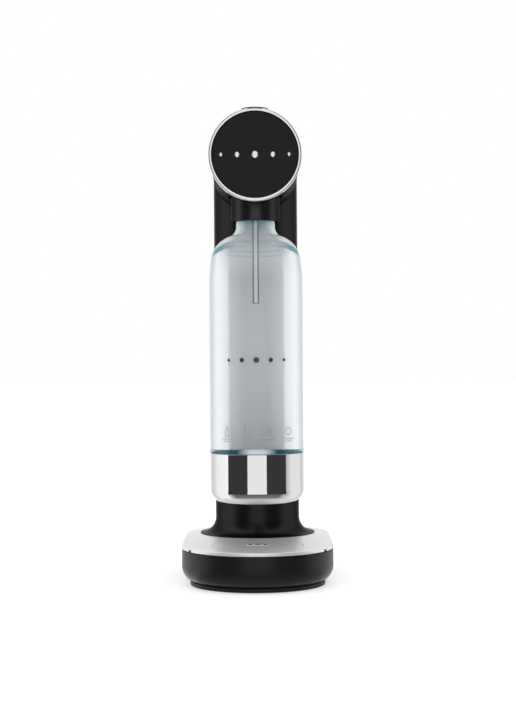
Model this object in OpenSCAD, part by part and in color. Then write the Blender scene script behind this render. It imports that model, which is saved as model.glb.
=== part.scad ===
// Soda carbonator: a round column on a base with rounded ends, a drum-shaped
// head that reaches forward, a bottle in a tilting holder under the head, a
// gas cylinder inside the column and a steel drip tray.
// Millimetres. +Z is up, the front is -Y, and the origin is on the table
// under the middle of the base.

/* [Base and tray] */
// Radius of the rounded ends of the base
base_r = 70; // [68:0.5:74]
// Half the distance between the centres of the rounded ends
base_half = 49; // [48:0.5:52]
// Height of the tray's upper face
tray_top = 36.8; // [36:0.2:38]
// Height of the tray's rolled lip
lip_h = 3.6; // [3.2:0.1:4]

/* [Housing] */
// Outer radius of the column and of the head drum
tube_r = 41.1; // [40.6:0.1:41.6]
// Wall thickness of the plastic housings
wall = 2.5; // [2:0.1:2.6]
// Distance from the middle back to the column's axis
column_back = 51; // [50:0.5:52]
// Height of the head drum's axis
head_z = 390.2; // [388:0.2:392]
// Distance from the middle forward to the chrome ring's front
ring_front = 104.5; // [103:0.5:106]
// Outer radius of the chrome ring
ring_r = 41.8; // [41.7:0.1:42.4]

/* [Bottle] */
// Distance from the middle forward to the bottle's axis
bottle_out = 59; // [58:0.5:60]
// Outer radius of the bottle
bottle_r = 43; // [42.6:0.1:43.1]
// Outer radius of the bottle's neck
neck_r = 17.7; // [17.5:0.1:17.8]
// Wall thickness of the bottle
bottle_wall = 1.4; // [1:0.1:1.8]
// Height of the underside of the steel cup
cup_z = 76.7; // [76:0.1:79]
// Height of the steel cup
cup_h = 45.5; // [40:0.5:50]
// Outer radius of the steel cup
cup_r = 43.2; // [43:0.1:43.4]

/* [Gas cylinder] */
// Radius of the gas cylinder
gas_r = 30; // [28:0.5:30]
// Wall thickness of the gas cylinder
gas_wall = 2.2; // [1.8:0.1:3]

/* [Controls] */
// Radius of the push button
button_r = 13; // [11:0.5:13.5]
// Diameter of the carbonating nozzle
nozzle_d = 6.2; // [5:0.1:7]

/* [Hidden] */
$fn = 96;

// Gap between pieces that move past each other
gap = 0.3;
// Gap of a pin that turns or slides in its bore
fit = 0.05;
// How much thinner a fixed pin is than its hole
pin_slack = 0.01;
// Overlap of a cutter past the face that it cuts
cut = 1;

tube_in = tube_r - wall;
head_front = -ring_front + 6.5;
deck_top = tray_top - lip_h - gap;
sheet = 1.1;
wall_top = tray_top - sheet - gap;
notch_x = 61.4;
notch_w = 2.4;
notch_in = 20;
groove_r = 42.5;
groove_w = 0.8;
marks = [[-6, -4, 5.2], [5.5, -2, 3.6], [0.5, 8.5, 2.6]];
deck_h = 2.5;
wall_break = 18;
foot_top = 5;
foot_r = 62.4;
foot_rim_z = 0.8;
foot_x = 34;
foot_y = 76;
post_x = 50;
post_y = base_half * 0.9;
plate_top = 7.5;
plate_in = 60.2;
boss_r = 46;
flare_r = 56.2;
flare_edge = 0.6;
flare_round = flare_r - tube_r;
flare_z = tray_top + gap;
flare_top = flare_z + flare_edge + flare_round;
well_r = 34;

grip_x = 7;
grip_r = 6;
grip_depth = 1.4;
grip_z = 96;
grip_h = 40;

spine_in = 34.5;
spine_out = 37.5;
spine_top = 344;
spine_boss_at = 34.2;
spine_boss_angles = [225, 270, 315];
spine_screw_at = spine_boss_at + 2.2;
cheek_post_top = 376;
magnet_z = [90, 200, 310];
magnet_h = 18;
magnet_x = 36;

gas_z = 16.8;
cradle_r = 33.5;
cradle_in = 30.6;
cradle_floor = 15.2;
gas_shoulder = 296;
gas_neck_r = 12;
gas_neck_z = 334;
gas_bore = 7;
valve_r = 10.6;
valve_top = 366;

cheek_in = 20;
cheek_out = 23;
lever_y = 74;
lever_z = 398;
lever_half = 6;
lever_under = 394;
lever_over = 402;
pivot_y = -45;
pivot_z = 368;
pivot_r = 3;
guide_z = 409;
guide_h = 3;
web_z = 384;
port_end = 17.5;
port_z = 362;
hose_port_x = 19.2;
hose_port_z = 373.6;
fitting_r = 3.2;
manifold_z = 346;
manifold_r = 16;
valve_seat_z = 368;
bolt_x = 15;
bolt_y = 12;
lever_pin_r = 2.5;
valve_pin_r = 2.5;
lever_pad_z = 390.2;
web_h = 3;

button_top = 438;
button_roof = 434;
button_skirt = 424;
bezel_top = 433;
bezel_in = button_r + 0.4;
bezel_out = button_r + 3.1;
stem_tip = lever_over + 0.5;
stem_r = 4;
inlay_r = 9.95;
inlay_h = 0.9;
bezel_z = 418;

// Studs on the disc: the middle one's radius, how much less the next ones have, and their spacing
dot_r = 3.3;
dot_less = 0.7;
dot_step = 16;

spring_r = 7.5;
spring_wire = 0.7;
spring_turns = 6;

collar_z = 333.7;
collar_r = 22;
collar_in = 18.2;
collar_roof = 357;
collar_top = 360;
neck_top = 351;
nozzle_tip = 258.7;
nozzle_r = nozzle_d / 2;
nozzle_top = 366;
ear_x = 15;
ear_w = 4.5;
ear_r = 6.2;
seal_top = 354.4;
nozzle_base_top = 374.5;

cup_top = cup_z + cup_h;
cup_corner = 13;
cup_wall = 0.9;
bead_r = 43.5;
bead_z = cup_top + 0.3;
bead_top = bead_z + 4;
shoulder_z = 275.9;
shoulder_big = 150;
shoulder_small = 26;
shoulder_a = 9.3;
shoulder_b = 70;

// The hose from the manifold's fitting forward to the fitting on the hollow pivot pin
hose_x = 27;
hose_r = 2.5;
hose_back_z = 374;
hose_back_y = 37;
hose_front_y = -35;
hose_end = 0.03;
hose_route = [[hose_x, hose_back_y - hose_end, hose_back_z], [hose_x, 34, hose_back_z],
    [27.3, 26, 374.2], [27.9, 15, 374.2], [28.4, 4, 373.4], [28.5, -8, 371.8], [28.1, -18, 370],
    [27.3, -26, 368.6], [hose_x, -32, pivot_z], [hose_x, hose_front_y + hose_end, pivot_z]];

// Points on an arc, from angle a0 to angle a1
function arc(c, r, a0, a1, n = 10) =
    [for (i = [0:n]) c + r * [cos(a0 + (a1 - a0) * i / n), sin(a0 + (a1 - a0) * i / n)]];

function reversed(list) = [for (i = [len(list) - 1:-1:0]) list[i]];

// Outline of the base's side wall from its lower edge up, moved in by d
function base_side(d) = let(
        drop = wall_break - foot_top,
        inset = base_r - foot_r - 0.5,
        r = (drop * drop + inset * inset) / (2 * inset))
    arc([base_r - r, wall_break], r - d, -asin(drop / r), 0, 8);

// Outline of the bottle from the middle of its bottom up to its mouth, moved in by d
function bottle_side(d) = let(
        low = cup_z + cup_wall + 0.4,
        low_r = cup_r - cup_wall - 0.2,
        corner = cup_corner - 1.3,
        a_end = [bottle_r - shoulder_big, shoulder_z]
            + shoulder_big * [cos(shoulder_a), sin(shoulder_a)],
        b_mid = a_end - shoulder_small * [cos(shoulder_a), sin(shoulder_a)],
        b_end = b_mid + shoulder_small * [cos(shoulder_b), sin(shoulder_b)],
        fillet = (b_end[0] - neck_r) / (1 - cos(shoulder_b)),
        f_mid = b_end + fillet * [cos(shoulder_b), sin(shoulder_b)])
    concat(
        [[0, low + d]],
        arc([low_r - corner, low + corner], corner - d, -90, 0, 8),
        [[low_r - d, bead_z]],
        d > 0 ? [] : [[bead_r - 0.5, bead_z], [bead_r, bead_z + 0.7], [bead_r, bead_top - 0.9]],
        [[bottle_r - d, bead_top]],
        arc([bottle_r - shoulder_big, shoulder_z], shoulder_big - d, 0, shoulder_a, 5),
        arc(b_mid, shoulder_small - d, shoulder_a + 5, shoulder_b, 10),
        arc(f_mid, fillet + d, 180 + shoulder_b - 8, 180, 8),
        [[neck_r - d, neck_top]]);

// A tube swept along a list of points, closed at both ends
module swept_tube(points, r, sides = 10) {
    n = len(points);
    function heading(i) = let(v = points[min(i + 1, n - 1)] - points[max(i - 1, 0)]) v / norm(v);
    function across(i) = let(v = cross(heading(i), [0, 0.05, 1])) v / norm(v);
    function other(i) = cross(across(i), heading(i));
    ring_points = [for (i = [0:n - 1]) for (k = [0:sides - 1])
        points[i] + r * (across(i) * cos(360 * k / sides) + other(i) * sin(360 * k / sides))];
    side_faces = [for (i = [0:n - 2]) for (k = [0:sides - 1]) let(
            a = i * sides + k,
            b = i * sides + (k + 1) % sides)
        each [[a, a + sides, b], [b, a + sides, b + sides]]];
    polyhedron(concat(ring_points, [points[0], points[n - 1]]), concat(side_faces,
        [for (k = [0:sides - 1]) [n * sides, k, (k + 1) % sides]],
        [for (k = [0:sides - 1])
            [n * sides + 1, (n - 1) * sides + (k + 1) % sides, (n - 1) * sides + k]]));
}

// A coil spring standing on z = 0, with its axis along Z
module coil(r, wire, height, turns, steps = 14) {
    count = turns * steps;
    swept_tube([for (i = [0:count]) [r * cos(360 * i / steps), r * sin(360 * i / steps),
        wire + (height - 2 * wire) * i / count]], wire, 8);
}

// A ring with its axis along Z
module ring(r_in, r_out, z0, z1) {
    rotate_extrude()
        translate([r_in, z0])
            square([r_out - r_in, z1 - z0]);
}

// Half of a ring: its back half, or its front half
module half_ring(r_in, r_out, z0, z1, front = false) {
    rotate([0, 0, front ? 180 : 0])
        rotate_extrude(angle = 180)
            translate([r_in, z0])
                square([r_out - r_in, z1 - z0]);
}

// A solid with straight sides and rounded ends from a profile at its right side
module track() {
    translate([0, base_half, 0])
        rotate_extrude(angle = 180)
            children();
    translate([0, -base_half, 0])
        rotate([0, 0, 180])
            rotate_extrude(angle = 180)
                children();
    rotate([90, 0, 0])
        linear_extrude(2 * base_half, center = true) {
            children();
            mirror([1, 0])
                children();
        }
}

// The block under the column that the tray's slot goes round
module slot_block(r, z0, z1, back) {
    translate([0, column_back, 0])
        half_ring(0, r, z0, z1, front = true);
    translate([-r, column_back, z0])
        cube([2 * r, back - column_back, z1 - z0]);
}

// Everything above or below the slanting plane where the head meets the column
module mitre_half(above) {
    translate([0, column_back, head_z])
        rotate([45, 0, 0])
            translate([-80, -160, above ? 0 : -160])
                cube([160, 320, 160]);
}

module along_y(y0, y1, r) {
    translate([0, y1, head_z])
        rotate([90, 0, 0])
            cylinder(h = y1 - y0, r = r);
}

module screw(head_r, head_h, shank_r, shank_h) {
    difference() {
        union() {
            cylinder(h = head_h, r = head_r, $fn = 32);
            cylinder(h = head_h + shank_h, r = shank_r, $fn = 32);
        }
        for (a = [0, 90])
            rotate([0, 0, a])
                translate([-head_r * 0.6, -0.3, -cut])
                    cube([head_r * 1.2, 0.6, cut + head_h * 0.5]);
    }
}

module base_posts(r, z0, z1) {
    for (x = [-1, 1], y = [-1, 1])
        translate([x * post_x, y * post_y, z0])
            cylinder(h = z1 - z0, r = r, $fn = 48);
}

module base_shell() {
    color("#202022")
        difference() {
            union() {
                track()
                    difference() {
                        polygon(concat([[0, foot_top]], base_side(0), [[base_r, wall_top],
                            [base_r - wall, wall_top], [base_r - wall, deck_top], [0, deck_top]]));
                        polygon(concat([[-cut, foot_top - cut], [base_side(wall)[0][0], foot_top - cut]],
                            base_side(wall), [[base_r - wall, deck_top - deck_h],
                            [-cut, deck_top - deck_h]]));
                    }
                intersection() {
                    slot_block(boss_r, deck_top - 0.5, tray_top, base_half + base_r);
                    track()
                        translate([0, deck_top - 1])
                            square([base_r - 0.4, 10]);
                }
                base_posts(4.5, plate_top + 0.1, deck_top - deck_h + 0.5);
            }
            translate([-base_r - cut, -base_half - base_r - cut, deck_top])
                cube([2 * (base_r + cut), base_r + cut + gap, 10]);
            translate([0, column_back, deck_top - deck_h - cut])
                cylinder(h = 20, r = well_r);
            base_posts(1.65, plate_top - cut, 20);
            translate([0, column_back, 0])
                spine_holes(1.5, deck_top - deck_h - cut, tray_top + cut);
        }
}

module spine_holes(r, z0, z1) {
    for (a = spine_boss_angles)
        rotate([0, 0, a])
            translate([spine_screw_at, 0, z0])
                cylinder(h = z1 - z0, r = r, $fn = 32);
}

module base_plate() {
    color("#1b1b1d")
        difference() {
            track()
                polygon([[0, foot_top], [foot_r - 4, foot_top], [foot_r - 4, foot_rim_z],
                    [foot_r - 0.6, foot_rim_z], [foot_r, foot_rim_z + 0.6], [foot_r, foot_top - 0.9],
                    [plate_in, foot_top - 0.9], [plate_in, plate_top], [0, plate_top]]);
            base_posts(1.9, foot_top - cut, plate_top + cut);
            for (y = [-60, -40, -20, 0])
                translate([-24, y - 1.5, foot_top - cut])
                    cube([48, 3, plate_top - foot_top + 2 * cut]);
        }
}

module rubber_feet() {
    color("#141414")
        for (x = [-1, 1], y = [-1, 1])
            translate([x * foot_x, y * foot_y, 0])
                rotate_extrude()
                    polygon([[0, 0.4], [6, 0.4], [6.6, 0], [9.4, 0], [10, 0.6], [10, foot_top],
                        [0, foot_top]]);
}

module base_screws() {
    color("silver")
        for (x = [-1, 1], y = [-1, 1])
            translate([x * post_x, y * post_y, foot_top - 2.2])
                screw(3.2, 2.2, 1.6, 13);
}

module column_shell() {
    color("#1f1f21")
        translate([0, column_back, 0]) {
            rotate_extrude()
                polygon(concat([[tube_in, tray_top], [boss_r - 0.5, tray_top], [boss_r - 0.5, flare_z],
                    [flare_r, flare_z]],
                    arc([flare_r, flare_top], flare_round, 270, 180, 12), [[tube_in, flare_top]]));
            difference() {
                half_ring(tube_in, tube_r, flare_top, head_z + 5, front = true);
                translate([0, -column_back, 0])
                    mitre_half(true);
            }
        }
}

module spine() {
    color("#5a5c60")
        translate([0, column_back, 0])
            difference() {
                union() {
                    half_ring(spine_in, spine_out, tray_top, spine_top, front = true);
                    for (a = spine_boss_angles)
                        rotate([0, 0, a])
                            translate([spine_boss_at - 0.6, -3.2, tray_top])
                                cube([3.6, 6.4, 26]);
                    for (s = [-1, 1])
                        translate([s > 0 ? cheek_in : -cheek_out, -30.4, spine_top - 10])
                            cube([cheek_out - cheek_in, 5, cheek_post_top - spine_top + 10]);
                }
                spine_holes(1.2, tray_top - cut, tray_top + 20);
                for (z = magnet_z, x = [-1, 1])
                    translate([x * magnet_x - 1.3, -5.1, z - magnet_h / 2 - 0.1])
                        cube([2.6, 5.2, magnet_h + 0.2]);
                for (z = [70:50:320])
                    translate([-9, -spine_out - cut, z])
                        cube([18, 6, 26]);
            }
}

module column_screws() {
    color("silver")
        translate([0, column_back, 0])
            for (a = spine_boss_angles)
                rotate([0, 0, a])
                    translate([spine_screw_at, 0, deck_top - deck_h - 1.8])
                        screw(2.6, 1.8, 1.15, 18);
}

module head_shell() {
    color("#1f1f21")
        difference() {
            union() {
                difference() {
                    along_y(head_front, column_back, tube_r);
                    along_y(head_front - cut, column_back + cut, tube_in);
                    mitre_half(false);
                }
                translate([0, column_back, head_z])
                    rotate_extrude(angle = 180)
                        intersection() {
                            difference() {
                                circle(r = tube_r);
                                circle(r = tube_in);
                            }
                            square([60, 60]);
                        }
            }
            translate([0, -bottle_out, head_z])
                cylinder(h = 60, r = bezel_out + 0.1);
            holder_opening();
        }
}

// The opening under the head: room for the collar upright and tilted
module holder_opening() {
    room_r = collar_r + 3;
    tilt_room = 5;
    translate([0, -bottle_out, head_z - 60])
        half_ring(0, room_r, 0, 50);
    translate([-room_r, -bottle_out - tilt_room, head_z - 60])
        cube([2 * room_r, tilt_room, 50]);
    translate([0, -bottle_out - tilt_room, head_z - 60])
        half_ring(0, room_r, 0, 50, front = true);
}

module around_y(y) {
    translate([0, y, head_z])
        rotate([90, 0, 0])
            rotate_extrude()
                children();
}

module front_disc() {
    color("#161618")
        around_y(-ring_front + 4.2)
            polygon([[0, 0], [ring_r - 3.2, 0], [ring_r - 3.2, 2.5], [ring_r - 3.7, 3], [0, 3]]);
}

module trim_ring() {
    color("#e6e6e8")
        around_y(-ring_front + 6.3)
            polygon([[ring_r - 3, 0], [ring_r, 0], [ring_r, 4.6], [ring_r - 0.5, 5.7], [ring_r - 1.5, 6.3],
                [ring_r - 2.4, 6], [ring_r - 3, 5.4]]);
}

module emblem_dots() {
    color("#dcdcde")
        for (i = [-2:2]) {
            r = dot_r - dot_less * abs(i);
            translate([i * dot_step - sign(i) * 1.5 * (abs(i) - 1), 0, 0])
                around_y(-ring_front + 1.2)
                    polygon([[0, 0], [r, 0], [r * 0.92, 0.35], [r * 0.6, 0.7], [0, 0.85]]);
        }
}

module disc_carrier() {
    color("#2a2a2c")
        difference() {
            around_y(-ring_front + 16)
                polygon([[tube_in - 1.8, 0], [tube_in - 0.1, 0], [tube_in - 0.1, 9.4],
                    [ring_r - 3.3, 9.4], [ring_r - 3.3, 11.7], [0, 11.7], [0, 9.7],
                    [tube_in - 1.8, 9.7]]);
            translate([0, -bottle_out, head_z - 60])
                cylinder(h = 50, r = collar_r + 8);
        }
}

// A side plate of the head frame, from x = 0 to its thickness
module cheek() {
    rotate([90, 0, 90])
        linear_extrude(cheek_out - cheek_in)
            difference() {
                polygon([[-84, 376], [-52, 376], [-52, 364], [-49, 361], [-41, 361], [-38, 364], [-38, 376],
                    [30, 376], [64, 380], [78, 391], [78, 401], [72, 405], [-44, 405],
                    [-44, guide_z + guide_h], [-74, guide_z + guide_h], [-74, 405], [-84, 398]]);
                translate([pivot_y, pivot_z])
                    circle(r = pivot_r, $fn = 48);
                translate([lever_y, lever_z])
                    circle(r = lever_pin_r, $fn = 48);
                for (y = [-22, 2])
                    translate([y - 8, 382])
                        square([16, 16]);
            }
}

module head_frame() {
    color("#6a6c70")
        difference() {
            union() {
                translate([cheek_in, 0, 0])
                    cheek();
                translate([-cheek_out, 0, 0])
                    cheek();
                translate([-cheek_in, 31, web_z])
                    cube([2 * cheek_in, 34, web_h]);
                translate([-cheek_in, -73, guide_z])
                    cube([2 * cheek_in, 28, guide_h]);
                translate([-cheek_in, -84, 380])
                    cube([2 * cheek_in, 3, 12]);
            }
            translate([0, column_back, web_z - cut])
                cylinder(h = web_h + 2 * cut, r = 8);
            translate([0, -bottle_out, guide_z - cut])
                cylinder(h = guide_h + 2 * cut, r = stem_r + gap);
            manifold_bolts(1.65, web_z - cut, web_z + web_h + cut);
        }
}

module manifold_bolts(r, z0, z1) {
    for (x = [-1, 1], y = [-1, 1])
        translate([x * bolt_x, column_back - 3 + y * bolt_y, z0])
            cylinder(h = z1 - z0, r = r, $fn = 32);
}

module gas_manifold() {
    color("#b8a15a")
        difference() {
            union() {
                translate([0, column_back, manifold_z])
                    cylinder(h = web_z - manifold_z, r = manifold_r);
                translate([-19, column_back - 18, 377])
                    cube([38, 30, web_z - 377]);
                translate([0, column_back - 9, hose_port_z])
                    rotate([0, 90, 0])
                        cylinder(h = hose_port_x, r = fitting_r);
                translate([-port_end, column_back, port_z])
                    rotate([0, 90, 0])
                        cylinder(h = port_end, r = 4.2);
            }
            translate([0, column_back, manifold_z - cut])
                cylinder(h = valve_seat_z - manifold_z + cut, r = valve_r + 0.4);
            translate([0, column_back, manifold_z])
                cylinder(h = web_z - manifold_z + cut, r = valve_pin_r + fit);
            manifold_bolts(1.3, 376, web_z + cut);
        }
}

module manifold_seal() {
    color("#202020")
        translate([0, column_back, 0])
            ring(4, 8, valve_top + gap, valve_seat_z);
}

module relief_valve() {
    color("#c8b060")
        translate([-port_end, column_back, port_z])
            rotate([0, -90, 0]) {
                cylinder(h = 5, r = 5, $fn = 6);
                cylinder(h = 8.5, r = 3.2);
            }
}

module gas_hose() {
    color("#303234")
        swept_tube(hose_route, hose_r, 10);
}

module hose_fittings() {
    color("#c8b060") {
        translate([hose_port_x, hose_back_y + 1, hose_back_z - 3.5])
            cube([11, 8, 6]);
        translate([hose_x, hose_back_y + 1, hose_back_z])
            rotate([90, 0, 0])
                cylinder(h = 1, r = fitting_r);
        translate([cheek_out + fit, pivot_y - 4, pivot_z - 2.7])
            cube([5.5, 8, 6]);
        translate([hose_x, hose_front_y, pivot_z])
            rotate([90, 0, 0])
                cylinder(h = 6, r = fitting_r);
    }
}

module button_bezel() {
    color("#d8d8da")
        translate([0, -bottle_out, 0])
            rotate_extrude()
                polygon([[bezel_in, bezel_z], [bezel_out, bezel_z], [bezel_out, bezel_top - 0.8],
                    [bezel_out - 0.8, bezel_top], [bezel_in + 0.5, bezel_top],
                    [bezel_in, bezel_top - 0.5]]);
}

module lever_pivot_pin() {
    color("silver")
        translate([-cheek_out - 1, lever_y, lever_z])
            rotate([0, 90, 0])
                cylinder(h = 2 * cheek_out + 2, r = lever_pin_r - pin_slack, $fn = 48);
}

module holder_pivot_pins() {
    color("silver")
        for (s = [-1, 1])
            translate([s > 0 ? 14.8 : -cheek_out, pivot_y, pivot_z])
                rotate([0, 90, 0])
                    cylinder(h = cheek_out - 14.8, r = pivot_r - pin_slack, $fn = 48);
}

module frame_screws() {
    color("silver")
        for (x = [-1, 1], y = [-1, 1])
            translate([x * bolt_x, column_back - 3 + y * bolt_y, web_z + web_h + 1.8])
                mirror([0, 0, 1])
                    screw(2.8, 1.8, 1.25, 9);
}

module cylinder_cradle() {
    color("#2c2c2e")
        translate([0, column_back, 0])
            rotate_extrude()
                polygon([[0, plate_top], [cradle_r, plate_top], [cradle_r, tray_top - 2],
                    [cradle_r - 1.5, tray_top], [cradle_in, tray_top - 1], [cradle_in, cradle_floor],
                    [0, cradle_floor]]);
}

module cradle_pad() {
    color("#151515")
        translate([0, column_back, cradle_floor])
            cylinder(h = 1.2, r = 26);
}

module cover_magnets() {
    color("#8a8c90")
        translate([0, column_back, 0])
            for (z = magnet_z, x = [-1, 1])
                translate([x * magnet_x - 1.2, -5, z - magnet_h / 2])
                    cube([2.4, 4.9, magnet_h]);
}

module button_cap() {
    color("#1c1c1e")
        translate([0, -bottle_out, 0])
            rotate_extrude()
                polygon([[stem_r + fit, button_roof], [button_r - 2, button_roof],
                    [button_r - 2, button_skirt], [button_r, button_skirt], [button_r, button_top - 1.5],
                    [button_r - 0.5, button_top - 0.5], [button_r - 1.5, button_top],
                    [inlay_r + fit, button_top],
                    [inlay_r + fit, button_top - inlay_h], [stem_r + fit, button_top - inlay_h]]);
}

module button_inlay() {
    color("#d4d4d6")
        translate([0, -bottle_out, 0])
            rotate_extrude()
                polygon([[0, button_top - inlay_h], [inlay_r, button_top - inlay_h],
                    [inlay_r, button_top - 0.2], [0, button_top - 0.5]]);
}

module button_stem() {
    color("#d0d0d2")
        translate([0, -bottle_out, 0])
            rotate_extrude()
                polygon([[0, stem_tip], [2.4, stem_tip], [3, stem_tip + 0.6], [3, guide_z - 3],
                    [stem_r, guide_z - 2], [stem_r, button_top - inlay_h], [0, button_top - inlay_h]]);
}

module button_spring() {
    color("silver")
        translate([0, -bottle_out, guide_z + guide_h])
            coil(spring_r, spring_wire, button_roof - guide_z - guide_h, spring_turns);
}

module lever_arm() {
    color("#9a9ca0")
        difference() {
            union() {
                translate([-lever_half, 0, 0])
                    rotate([90, 0, 90])
                        linear_extrude(2 * lever_half)
                            polygon([[-66, lever_over - 3], [-64, lever_over], [lever_y, lever_over],
                                [lever_y, lever_under], [20, lever_under], [-10, lever_over - 5],
                                [-64, lever_over - 5], [-66, lever_over - 4]]);
                translate([-lever_half, lever_y, lever_z])
                    rotate([0, 90, 0])
                        cylinder(h = 2 * lever_half, r = 5, $fn = 64);
            }
            translate([-lever_half - cut, lever_y, lever_z])
                rotate([0, 90, 0])
                    cylinder(h = 2 * lever_half + 2 * cut, r = lever_pin_r + fit, $fn = 48);
            for (y = [-30, 0])
                translate([-2.5, y - 8, lever_under - cut])
                    cube([5, 16, 12]);
        }
}

module lever_pad() {
    color("#c0c2c4")
        translate([0, column_back, lever_pad_z])
            cylinder(h = lever_under - lever_pad_z, r = 5);
}

module valve_pin() {
    color("#d8d8da")
        translate([0, column_back, 0])
            rotate_extrude()
                polygon([[0, valve_top + 0.5], [valve_pin_r - 0.6, valve_top + 0.5],
                    [valve_pin_r, valve_top + 1.1], [valve_pin_r, lever_pad_z - 1],
                    [valve_pin_r - 0.4, lever_pad_z - 0.5], [0, lever_pad_z - 0.5]]);
}

module bottle_holder() {
    color("#1a1a1c")
        difference() {
            union() {
                translate([0, -bottle_out, 0])
                    rotate_extrude()
                        polygon([[collar_in + 0.6, collar_z], [collar_r - 1, collar_z],
                            [collar_r, collar_z + 1], [collar_r, collar_top - 1],
                            [collar_r - 1, collar_top], [14.6, collar_top],
                            [14.6, collar_roof], [collar_in, collar_roof], [collar_in, collar_z + 0.6]]);
                for (s = [-1, 1])
                    translate([s > 0 ? ear_x : -ear_x - ear_w, 0, 0]) {
                        translate([0, -56, collar_top - 2])
                            cube([ear_w, 13, pivot_z - collar_top + 2]);
                        translate([0, pivot_y, pivot_z])
                            rotate([0, 90, 0])
                                cylinder(h = ear_w, r = ear_r, $fn = 64);
                    }
            }
            translate([-30, pivot_y, pivot_z])
                rotate([0, 90, 0])
                    cylinder(h = 60, r = pivot_r + fit, $fn = 48);
        }
}

module neck_seal() {
    color("#151515")
        translate([0, -bottle_out, 0])
            ring(nozzle_r + 0.2, 17.5, neck_top + gap, seal_top);
}

module nozzle_holder() {
    color("#303234")
        translate([0, -bottle_out, 0])
            rotate_extrude()
                polygon([[nozzle_r + fit, seal_top], [18, seal_top], [18, collar_roof - 0.1],
                    [14.5, collar_roof - 0.1], [14.5, nozzle_base_top - 2.5], [12, nozzle_base_top],
                    [0, nozzle_base_top], [0, nozzle_top + 0.1], [nozzle_r + fit, nozzle_top + 0.1]]);
}

module nozzle() {
    color("#d0d4d6")
        translate([0, -bottle_out, 0])
            rotate_extrude()
                polygon([[0.8, nozzle_tip], [nozzle_r - 1, nozzle_tip], [nozzle_r, nozzle_tip + 2],
                    [nozzle_r, nozzle_top], [1.4, nozzle_top], [1.4, nozzle_tip + 4]]);
}

module bottle_body() {
    color("#b9d3dd", 0.6)
        translate([0, -bottle_out, 0])
            rotate_extrude()
                polygon(concat(bottle_side(0), reversed(bottle_side(bottle_wall))));
}

module bottle_cup() {
    color("#dcdee0")
        translate([0, -bottle_out, 0])
            rotate_extrude()
                polygon(concat([[0, cup_z]],
                    arc([cup_r - cup_corner, cup_z + cup_corner], cup_corner, -90, 0, 10),
                    [[cup_r, cup_top], [cup_r - cup_wall, cup_top]],
                    arc([cup_r - cup_corner, cup_z + cup_corner], cup_corner - cup_wall, 0, -90, 10),
                    [[0, cup_z + cup_wall]]));
}

module co2_cylinder() {
    function side(d) = concat([[0, gas_z + d]],
        arc([gas_r - 9, gas_z + 9], 9 - d, -90, 0, 6),
        arc([gas_r - 24, gas_shoulder], 24 - d, 0, 62, 8),
        arc([gas_r - 24 + 32 * cos(62), gas_shoulder + 32 * sin(62)], 8 + d, 242, 195, 4));
    color("#c9ccd0")
        translate([0, column_back, 0])
            rotate_extrude()
                polygon(concat(side(0), [[gas_neck_r, gas_neck_z - 5], [gas_neck_r, gas_neck_z],
                    [gas_bore, gas_neck_z], [gas_bore, gas_shoulder + 20]], reversed(side(gas_wall))));
}

module cylinder_valve() {
    color("#c2a658")
        translate([0, column_back, 0])
            difference() {
                union() {
                    translate([0, 0, 320])
                        cylinder(h = gas_neck_z - 320, r = gas_bore - 0.05);
                    translate([0, 0, gas_neck_z])
                        cylinder(h = 7, r = 13, $fn = 6);
                    translate([0, 0, gas_neck_z + 7])
                        cylinder(h = valve_top - gas_neck_z - 7, r = valve_r);
                }
                translate([0, 0, valve_top - 5])
                    cylinder(h = 10, r = 3.4);
            }
}

module keepers(extra) {
    translate([0, column_back, 0])
        for (z = magnet_z, x = [-1, 1])
            translate([x > 0 ? 34.8 : -39.4, 0.6 - extra, z - magnet_h / 2 - extra])
                cube([4.6, 2 + 2 * extra, magnet_h + 2 * extra]);
}

module rear_cover() {
    color("#1f1f21")
        difference() {
            translate([0, column_back, 0])
                intersection() {
                    half_ring(tube_in, tube_r, flare_top + gap, head_z - gap);
                    translate([-60, gap, 0])
                        cube([120, 80, 500]);
                }
            keepers(0.02);
            for (s = [-1, 1])
                translate([s * grip_x, column_back + tube_r + grip_r - grip_depth, grip_z])
                    cylinder(h = grip_h, r = grip_r, $fn = 48);
        }
}

module cover_keepers() {
    color("#b0b2b4")
        keepers(0);
}

module drip_tray() {
    color("#c9cacc")
        difference() {
            union() {
                track()
                    polygon([[0, tray_top - sheet], [base_r - 0.2, tray_top - sheet],
                        [base_r, tray_top - 0.8], [base_r - 0.15, tray_top - 0.25],
                        [base_r - 0.6, tray_top], [0, tray_top]]);
                intersection() {
                    track()
                        polygon(concat([[base_r - 3.2, tray_top - 0.5], [base_r - 3.2, tray_top - lip_h],
                            [base_r - 0.8, tray_top - lip_h]],
                            arc([base_r - 2.4, tray_top - 2.4], 2.4, 0, 75, 6)));
                    translate([-base_r - cut, -base_half - base_r - cut, tray_top - 10])
                        cube([2 * (base_r + cut), base_r + cut, 20]);
                }
            }
            for (s = [-1, 1])
                translate([s * notch_x - notch_w / 2, -base_half - base_r, tray_top - 10])
                    cube([notch_w, base_r - notch_in, 10 - sheet]);
            slot_block(boss_r + gap, tray_top - 10, tray_top + 10, 130);
            translate([0, -bottle_out, 0])
                ring(groove_r, groove_r + groove_w, tray_top - 0.3, tray_top + cut);
            mark_discs(0.02, tray_top - 0.4, tray_top + cut);
        }
}

module mark_discs(extra, z0, z1) {
    for (p = marks)
        translate([p[0], p[1] - bottle_out, z0])
            cylinder(h = z1 - z0, r = p[2] + extra, $fn = 64);
}

module tray_mark() {
    color("#e8e8ea")
        mark_discs(0, tray_top - 0.38, tray_top + 0.1);
}

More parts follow.
